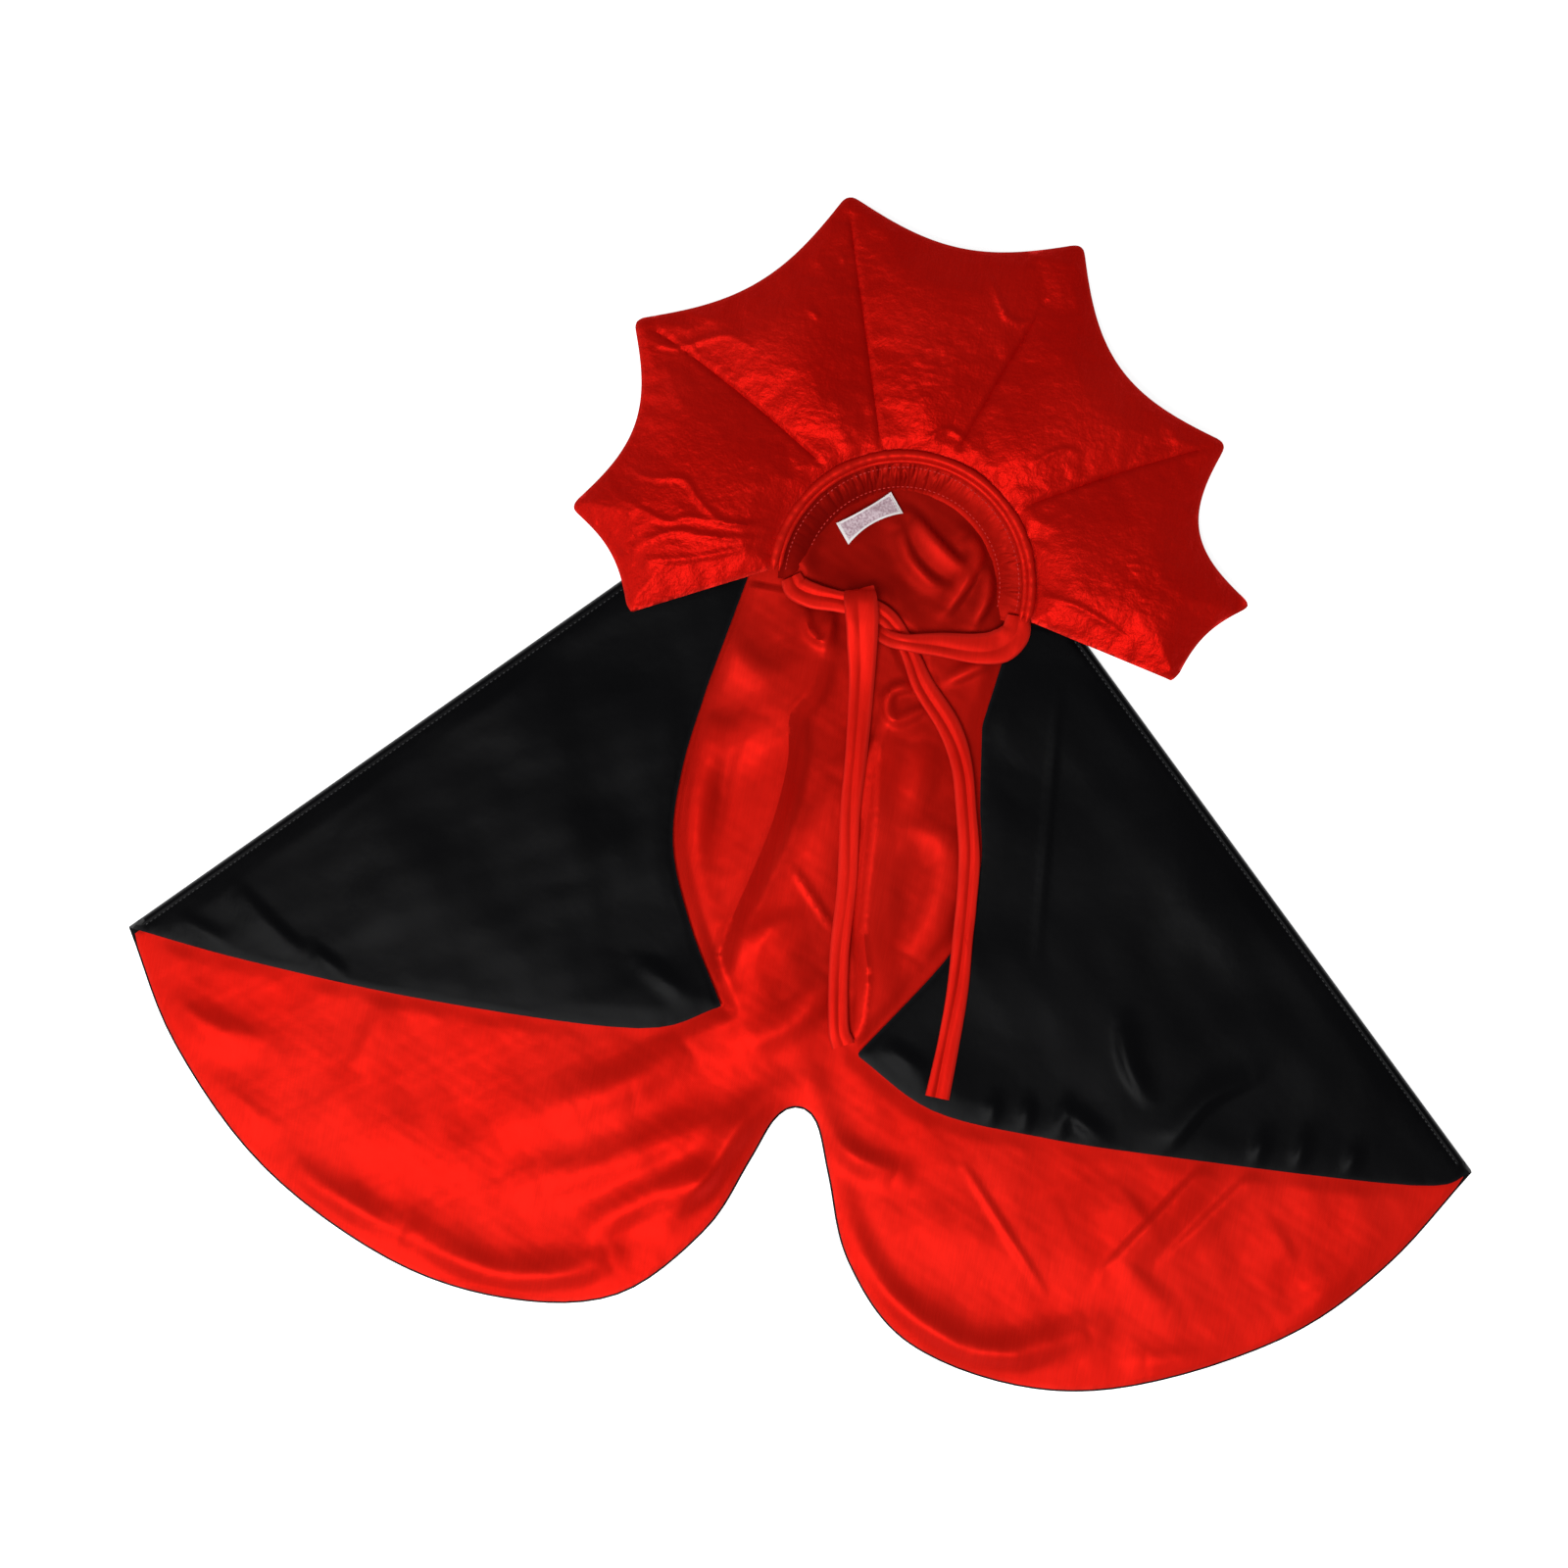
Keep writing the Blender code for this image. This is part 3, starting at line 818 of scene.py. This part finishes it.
def build_back(black, red):
    """The back's lining and shell, which follow the same folds."""
    outline = back_outline()

    def lining_top(plan, rim):
        top = BACK_TOP - 0.2 + back_relief(plan, rim) - 0.5 * (1 - ease(rim, 0, 1.5))
        return under_ties(plan, top)

    def shell_top(plan, rim):
        top = BACK_TOP - 0.2 + back_relief(plan, rim)
        return BACK_TOP - 0.2 + 0.8 * (under_ties(plan, top) - BACK_TOP + 0.2) - CLOTH - LAYER_GAP

    narrower = inset(outline, EDGE_INSET)
    for corner, shoulder in ((LEFT_CORNER, LEFT_SHOULDER), (RIGHT_CORNER, RIGHT_SHOULDER)):
        narrower = clear_of_fold(narrower, corner, shoulder, FOLD_INSET)
    crests = [smooth(points) for points, height, *_ in CENTRE_FOLDS if height < CREST_MOST]
    lining = closed_sheet(
        "back_lining_cloth", narrower, BACK_SPACING, lining_top, CLOTH, red, crests, back_painted_shade
    )
    shell = closed_sheet("back_shell_cloth", outline, BACK_SHELL_SPACING, shell_top, CLOTH, black)
    for piece, name, finish in ((lining, "back_lining", "red_satin"), (shell, "back_shell", "black_satin")):
        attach(piece, "back")
        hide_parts(name)


# ---------------------------------------------------------------- fronts

LEFT_FRONT_FOLDS = [
    ([(-300, 60), (-278, 44), (-262, 34)], 1.2, 3, 8),
    ([(-256, 36), (-236, 24)], 1.4, 3, 6),
    ([(-330, 42), (-296, 28)], 1.0, 4, 5),
    ([(-190, 190), (-150, 150), (-130, 90)], 1.2, 18, 22),
    ([(-250, 110), (-200, 80), (-150, 60)], 1.0, 22, 18),
    ([(-92, 60), (-64, 46)], 1.2, 5, 5),
]
RIGHT_FRONT_FOLDS = [
    ([(155, 72), (162, 52), (174, 37)], 1.7, 6, 3),
    ([(136, 24), (160, 8)], 1.6, 5, 3),
    ([(190, 14), (206, 41), (226, 56)], 2.0, 9, 3),
    ([(94, 232), (99, 180), (107, 96)], 0.8, 1.5, 1.5),
    ([(99, 24), (99, 6)], 1.2, 3, 4),
    ([(116, 26), (117, 6)], 1.2, 3, 4),
    ([(136, 28), (134, 6)], 1.2, 3, 4),
    ([(236, 30), (235, 12)], 1.4, 4, 3),
    ([(257, 34), (256, 14)], 1.4, 4, 3),
    ([(284, 32), (282, 16)], 1.2, 4, 3),
    ([(150, 180), (190, 130), (220, 100)], 1.2, 20, 18),
    ([(40, 40), (60, 30)], 1.2, 4, 5),
]
FRONT_LIFT = 1.4
FOLD_LINES = (1.1, 2.3, 3.4, TOPSTITCH, 5.2)  # mesh edges along the side fold, so that it rolls over evenly


def front_relief(plan, rim, several, seed):
    """How far a front's cloth rises above lying flat, in millimetres."""
    raised = FRONT_LIFT * folds(plan, several)
    raised += 0.5 * (1 + waves(plan, 80, seed)) + 0.12 * (1 + waves(plan, 24, seed + 1))
    return np.maximum(raised, 0) * (0.3 + 0.7 * ease(rim, 0, 12))


def fold_distance(plan, corner, shoulder):
    """How far each plan point is from the side fold's straight line."""
    ahead = fold_directions(corner, shoulder)[0]
    return np.abs(ahead[0] * (plan[:, 1] - corner[1]) - ahead[1] * (plan[:, 0] - corner[0]))


def beside_fold(corner, shoulder, distance):
    """A line inside a side fold, at the distance, from a little after its corner to its shoulder."""
    ahead, inward = fold_directions(corner, shoulder)
    return np.array([corner + 9 * ahead, shoulder - 7 * ahead]) + distance * inward


def build_front(side, corner, shoulder, several, seed, black, red, cotton):
    """The shell and the lining of one front, with the shell rolled down and stitched along the side fold.
    """
    outline = front_outline(side)

    def shell_top(plan, rim):
        fold_edge = fold_distance(plan, corner, shoulder)
        rolled = 3.4 * (1 - np.sqrt(np.clip(1 - (1 - np.clip(fold_edge / 3.2, 0, 1)) ** 2, 0, 1)))
        pressed = 0.6 * np.exp(-(((fold_edge - TOPSTITCH) / 0.8) ** 2))
        hem = 0.5 * (1 - ease(rim, 0, 1.6))
        relief = front_relief(plan, rim, several, seed) * ease(fold_edge, 4, 14)
        return under_ties(plan, FRONT_TOP - 0.2 + relief - rolled - pressed - hem)

    def lining_top(plan, rim):
        fold_edge = fold_distance(plan, corner, shoulder)
        relief = front_relief(plan, rim, several, seed) * ease(fold_edge, 4, 14)
        top = under_ties(plan, FRONT_TOP - 0.2 + 0.8 * relief)
        return top - FRONT_TOP + FRONT_LINING_TOP + 0.05

    lines = [beside_fold(corner, shoulder, distance) for distance in FOLD_LINES]
    shell = closed_sheet(f"{side}_front_cloth", outline, FRONT_SPACING, shell_top, CLOTH, black, lines)
    narrower = clear_of_fold(inset(outline, FRONT_INSET), corner, shoulder, FOLD_INSET)
    lining = closed_sheet(
        f"{side}_front_lining_cloth", narrower, FRONT_SPACING, lining_top, FRONT_LINING, red
    )
    seam = evenly(beside_fold(corner, shoulder, TOPSTITCH), 4.0)
    seam = np.column_stack([seam, shell_top(seam, np.full(len(seam), NO_RIM)) + 0.1])
    sewn = stitches(f"{side}_fold_stitches", seam, 2.6, cotton)
    for piece, kind, finish in ((shell, "shell", "black_satin"), (lining, "lining", "red_satin")):
        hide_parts(f"{side}_front_{kind}", f"{side}_side_{kind}")
    for piece in (shell, lining, sewn):
        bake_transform(piece)


# ---------------------------------------------------------------- collar

SEAMS = [
    [(-42, 322), (-82, 346), (-127, 370), (-146, 377)],
    [(-16, 335), (-30, 378), (-48, 434), (-54, 454)],
    [(19, 334), (36, 382), (52, 424)],
    [(50, 315), (104, 346), (150, 369)],
]
CREASES = [
    [(-60, 292), (-78, 286), (-90, 286), (-103, 294), (-112, 303), (-130, 301), (-143, 306)],
    [(-62, 287), (-86, 285), (-104, 285), (-118, 281), (-140, 288)],
    [(-62, 281), (-93, 277), (-114, 276), (-136, 262)],
    [(-72, 276), (-100, 265), (-131, 258)],
    [(21, 434), (29, 421), (35, 413), (46, 413), (51, 421)],
    [(60, 343), (73, 352), (83, 352)],
    [(3, 343), (15, 352), (27, 347)],
    [(76, 278), (97, 275), (123, 265)],
    [(-143, 371), (-128, 369), (-106, 379), (-91, 376)],
    [(-60, 396), (-66, 400)],
    [(-55, 431), (-51, 426)],
]
TIP_ROUND = 6.0
SEAM_SAMPLE = 0.4  # fine enough that a seam's groove has an even depth along it
SIM_SPACING = 7.0
SIM_FRAMES = 20
SIM_PRESSURE = 4.0
SIM_GROWTH = -0.004
SIM_BENDING = 4.0
SWELL_MOST = 4.0
COLLAR_MIDDLE = (COLLAR_LOW + COLLAR_HIGH) / 2


def collar_outline():
    """Scallops between the tips, a ring at the neck, and each tip rounded off."""
    tips = np.vstack([ring(radius, bearing, bearing, 0) for radius, bearing, _ in TIPS])
    share = np.linspace(0, 1, 33)[:, None]
    stretches = []
    for start, end, (_, _, depth) in zip(tips, tips[1:], TIPS):
        across = end - start
        inward = np.array([-across[1], across[0]]) / np.linalg.norm(across)
        stretches.append(start + across * share + inward * depth * np.sin(math.pi * share))
    neck = ring(COLLAR_INNER, 184, -6, 60)
    outline = evenly(outline_of(*stretches, neck), 1.5, closed=True)
    for tip in tips:
        inward = (NECK - tip) / np.linalg.norm(NECK - tip)
        away = np.linalg.norm(outline - tip, axis=1)
        pull = 0.7 * np.clip(TIP_ROUND - away, 0, None) ** 2 / (2 * TIP_ROUND)
        outline = outline + pull[:, None] * inward
    return outline


def collar_middle(plan):
    """The height of the collar's middle layer: level at the neck, drooping towards the tips."""
    radius = np.hypot(*(plan - NECK).T)
    steeper = np.clip(radius - 140, 0, None)
    return COLLAR_MIDDLE - 0.05 * np.clip(radius - 80, 0, None) - 0.05 * steeper


def seam_distance(plan):
    """How far each plan point is from the nearest collar seam."""
    shortest = np.full(len(plan), 60.0)
    for seam in SEAMS:
        line = evenly(smooth(seam), SEAM_SAMPLE)
        for start in range(0, len(plan), 8000):
            part = plan[start : start + 8000]
            away = np.linalg.norm(part[:, None] - line[None], axis=2).min(1)
            shortest[start : start + 8000] = np.minimum(shortest[start : start + 8000], away)
    return shortest


def collar_pillow(plan, rim):
    """How far the inside face stands above the middle layer before the simulation."""
    edge = 3.0 * np.sqrt(np.clip(1 - (1 - np.clip(rim / 7, 0, 1)) ** 2, 0, 1))
    gore = 4.6 * (1 - np.exp(-((seam_distance(plan) / 20) ** 2))) * ease(rim, 0, 24)
    return edge + gore


def blown_up(outline, plan, start, finish):
    """The heights after a cloth simulation with air under the cloth, held at its seams and edge."""
    coarse, faces, rim = filled(outline, SIM_SPACING, [smooth(seam) for seam in SEAMS])
    middle = collar_middle(coarse)
    top = middle + collar_pillow(coarse, rim)
    pad = closed_between("collar_simulation", coarse, faces, rim, top, middle - 1.0, finish)
    sewn = (rim < 1) | (seam_distance(coarse) < 1)
    held = pad.vertex_groups.new(name="held")
    held.add(np.flatnonzero(sewn).tolist(), 1.0, "ADD")
    held.add(list(range(len(coarse), 2 * len(coarse))), 1.0, "ADD")
    cloth = pad.modifiers.new("Cloth", "CLOTH")
    cloth.settings.vertex_group_mass = "held"
    cloth.settings.quality = 6
    cloth.settings.shrink_min = SIM_GROWTH
    cloth.settings.bending_stiffness = SIM_BENDING
    cloth.settings.use_pressure = True
    cloth.settings.uniform_pressure_force = SIM_PRESSURE
    cloth.settings.effector_weights.gravity = 0.0
    cloth.collision_settings.use_collision = False
    scene = bpy.context.scene
    for step in range(1, SIM_FRAMES + 1):
        scene.frame_set(step)
    result = pad.evaluated_get(bpy.context.evaluated_depsgraph_get()).data
    moved = np.array([tuple(vertex.co) for vertex in result.vertices])[: len(coarse)]
    surface = BVHTree.FromPolygons(((moved - ORIGIN) / MM).tolist(), faces.tolist())
    bpy.data.objects.remove(pad)
    scene.frame_set(1)
    heights = np.array(start, float)
    for index, (x, y) in enumerate(plan):
        found = surface.ray_cast((x, y, 200.0), (0.0, 0.0, -1.0))[0]
        if found is not None:
            heights[index] = found[2]
    return start + np.clip(heights - start, -SWELL_MOST / 2, SWELL_MOST)


def collar_crinkle(plan, rim):
    """The fused satin's wrinkles: sharp creases, and a fine crumple that fades towards the edge."""
    sharp = folds(plan, [(crease, 1.2, 1.1, 1.7) for crease in CREASES])
    crumple = 0.14 * waves(plan, 10, 11) + 0.30 * np.abs(waves(plan, 7, 12, heading=1.9, spread=0.6))
    patchy = 0.25 + 0.75 * ease(waves(plan, 60, 13), -0.2, 0.9)
    seam = 1.2 * np.exp(-((seam_distance(plan) / 1.2) ** 2))
    return (sharp + crumple * patchy) * ease(rim, 1, 8) - seam * ease(rim, 2, 10)


def build_collar(black, red):
    """The collar's padded inside and its plain outside, drooping from the neck towards the tips."""
    outline = collar_outline()
    plan, faces, rim = filled(outline, COLLAR_SPACING, [smooth(seam) for seam in SEAMS])
    middle = collar_middle(plan)
    pillow = middle + collar_pillow(plan, rim)
    pillow = blown_up(outline, plan, pillow, red)
    top = pillow + collar_crinkle(plan, rim)
    bottom = middle - 2.9 * np.sqrt(np.clip(1 - (1 - np.clip(rim / 7, 0, 1)) ** 2, 0, 1))
    bottom -= 0.25 * (1 + waves(plan, 18, 15)) * ease(rim, 2, 12)
    inner = closed_between("collar_inside", plan, faces, rim, top, middle + 0.1, red)
    outer = closed_between("collar_outside", plan, faces, rim, middle - 0.1, bottom, black)
    for piece, kinds, finish in (
        (inner, ("lining", "pad"), "red_satin"),
        (outer, ("shell",), "black_satin"),
    ):
        for kind in kinds:
            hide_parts(f"collar_wings_{kind}", f"collar_back_{kind}")
        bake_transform(piece)


# ---------------------------------------------------------------- neck


PIPING_START = 184
PIPING_END = -7
PIPING_STEPS = 420


def build_piping(red):
    """The neck seam: two puckered rolls side by side, the inner one slimmer on the left."""
    for name, radius, height, thick, slimmer, seed in (
        ("neck_piping_outer_roll", 65.6, 15.8, 2.4, 0.0, 21),
        ("neck_piping_inner_roll", 62.6, 14.8, 1.9, 0.3, 22),
    ):
        bearings = np.linspace(PIPING_START, PIPING_END, PIPING_STEPS + 1)
        path = ring(radius, PIPING_START, PIPING_END, PIPING_STEPS)
        arc = np.column_stack([bearings, np.zeros(len(bearings))])
        thick *= 1 - slimmer * ease(bearings, 50, 110)
        swell = thick * (1 + 0.04 * waves(arc, 4.0, seed) + 0.07 * waves(arc, 15.0, seed + 5))
        count = np.arange(len(bearings))
        ends = ease(np.minimum(count, PIPING_STEPS - count), -3, 10)
        wander = 0.35 * waves(arc, 25.0, seed + 9)
        line = np.column_stack([path, height + wander])
        roll = tube(name, line, swell * ends, red, 14)
        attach(roll, "back")
        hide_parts("neck_piping")


CASING_INNER = 43.0
CASING_OUTER = 63.0
CASING_START = -9
CASING_END = 187
CASING_ROWS = (("casing_stitches_outer", 59.5), ("casing_stitches_inner", 50.0))


def casing_height(turn, radius):
    """The height of the gathered casing at a bearing and a radius from the neck."""
    arc = np.column_stack([turn.ravel(), 0.35 * radius.ravel()])
    rise = np.clip((radius - CASING_INNER) / (CASING_OUTER - CASING_INNER), 0, 1)
    channel = 1.3 * np.sin(math.pi * np.clip((radius - 49) / 11, 0, 1))
    gather = (np.abs(waves(arc, 9.0, 31)) + 0.5 * np.abs(waves(arc, 4.0, 32))).reshape(turn.shape)
    strong = 0.2 + 1.3 * np.exp(-(((turn - 102) / 22) ** 2)) + 0.3 * np.exp(-(((turn - 20) / 20) ** 2))
    gathered = 1.3 * gather * strong * ease(rise, 0.15, 0.6) * (1 - 0.6 * ease(rise, 0.8, 1.0))
    ends = 0.35 + 0.65 * ease(np.minimum(turn - CASING_START, CASING_END - turn), 0, 16)
    return 1.8 + (11.8 * rise**1.5 + channel + gathered) * ends


def build_casing(red):
    """The gathered casing inside the neck: a channel for the ties, shirred along its length."""
    turns = np.linspace(CASING_START, CASING_END, 540)
    turn, radius = np.meshgrid(turns, np.linspace(CASING_INNER, CASING_OUTER, 26), indexing="ij")
    angle = np.radians(turn)
    x = NECK[0] + radius * np.cos(angle)
    y = NECK[1] + radius * np.sin(angle)
    top = np.stack([x, y, casing_height(turn, radius)], axis=2)
    under = top - np.array([0, 0, 0.7])
    rings = np.concatenate([top, under[:, ::-1]], axis=1)
    # Painted shade on the casing: some all along it, and more from bearing 60 to 150.
    shaded = 0.45 + 0.4 * ease(turn[:, 0], 60, 150)
    painted_shade = np.repeat(shaded[::-1], rings.shape[1])
    casing = loft("neck_casing_gathers", rings[::-1], red, painted_shade=painted_shade)
    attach(casing, "back")
    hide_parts("neck_casing")


LABEL_SIZE = (32.0, 12.5)
LABEL_AT = (-16.0, 301.5)
LABEL_TURN = math.radians(40.0)


def label_point(x, y):
    """Points of the label, from its own middle, on the plan."""
    return (
        LABEL_AT[0] + x * math.cos(LABEL_TURN) - y * math.sin(LABEL_TURN),
        LABEL_AT[1] + x * math.sin(LABEL_TURN) + y * math.cos(LABEL_TURN),
    )


def build_label(tape):
    """A narrow-waisted strip of tape sewn down at both ends, arched between them."""
    across = np.linspace(-1, 1, 33)
    up = np.linspace(-1, 1, 17)
    u, v = (grid.ravel() for grid in np.meshgrid(across, up, indexing="ij"))
    waist = 1 - 0.32 * (1 - u**2)
    x = u * LABEL_SIZE[0] / 2
    y = v * waist * LABEL_SIZE[1] / 2 + 1.1 * (1 - u**2)
    turned = np.stack(label_point(x, y), axis=1)
    height = 5.6 + 1.6 * (1 - u**2) + 0.3 * np.sin(5 * u + 2 * v)
    faces = []
    for i in range(len(across) - 1):
        for j in range(len(up) - 1):
            a = i * len(up) + j
            faces += [(a, a + len(up), a + len(up) + 1), (a, a + len(up) + 1, a + 1)]
    faces = np.array(faces)
    rim = np.minimum((1 - np.abs(u)) * LABEL_SIZE[0] / 2, (1 - np.abs(v)) * LABEL_SIZE[1] / 2)
    label = closed_between("care_label_tape", turned, faces, rim, height, height - 0.35, tape)
    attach(label, "back")
    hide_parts("care_label")


def build_neck_stitches(red_cotton, white_cotton):
    """The casing's two rows of stitches, and a row at each end of the label."""
    for name, radius in CASING_ROWS:
        turn = np.linspace(182, -2, 121)
        height = casing_height(turn, np.full(len(turn), radius)) + 0.1
        row = np.column_stack([ring(radius, 182, -2, len(turn) - 1), height])
        sewn = stitches(name, row, 2.4, red_cotton)
        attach(sewn, "back")
    for name, end in (("label_stitches_left", -1), ("label_stitches_right", 1)):
        x = end * (LABEL_SIZE[0] / 2 - 1.4)
        half = LABEL_SIZE[1] / 2 - 1.5
        row = np.array([[*label_point(x, y), 6.0] for y in np.linspace(-half, half, 5)])
        sewn = stitches(name, row, 1.7, white_cotton)
        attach(sewn, "back")


def main():
    """Every piece of the cape, with its camera, floor and light."""
    build_camera()
    red_gloss = (0.54, 0.20, (1.0, 0.12, 0.08))
    worn_red = (0.72, 0.03, 0.02)
    red = satin("red_satin_cloth", (0.70, 0.013, 0.007), (0.60, 0.008, 0.004), worn_red,
                red_gloss, 0.49, 0.14, 120.0)
    # The collar's satin has a darker base colour than the cape's: painted shade for the collar drooping
    # away from the light.
    crinkled = satin("red_satin_fused_painted_shade", (0.56, 0.007, 0.004), (0.48, 0.004, 0.002), worn_red,
                     red_gloss, 0.42, 0.60, 210.0)
    black = satin("black_satin_cloth", (0.0022, 0.0022, 0.0027), (0.0016, 0.0016, 0.002),
                  (0.015, 0.015, 0.017), (0.0, 0.05, (1.0, 1.0, 1.0)), 0.34, 0.15, 110.0)
    black_cotton = thread("black_thread", (0.006, 0.006, 0.007))
    red_cotton = thread("red_thread", (0.50, 0.008, 0.004))
    white_cotton = thread("white_thread", (0.75, 0.73, 0.73))
    build_tie("right_tie_ribbon", "right_tie", RIGHT_ROOT_TIE, RIGHT_ROOT_WIDTHS, 0.62, red)
    build_tie("left_tie_ribbon", "left_tie", LEFT_ROOT_TIE, LEFT_ROOT_WIDTHS, 0.15, red)
    build_stage()
    build_back(black, red)
    build_front("left", LEFT_CORNER, LEFT_SHOULDER,
                LEFT_FRONT_FOLDS, 41, black, red, black_cotton)
    build_front("right", RIGHT_CORNER, RIGHT_SHOULDER,
                RIGHT_FRONT_FOLDS, 51, black, red, black_cotton)
    build_collar(black, crinkled)
    build_piping(red)
    build_casing(red)
    build_label(label_tape())
    build_neck_stitches(red_cotton, white_cotton)


main()
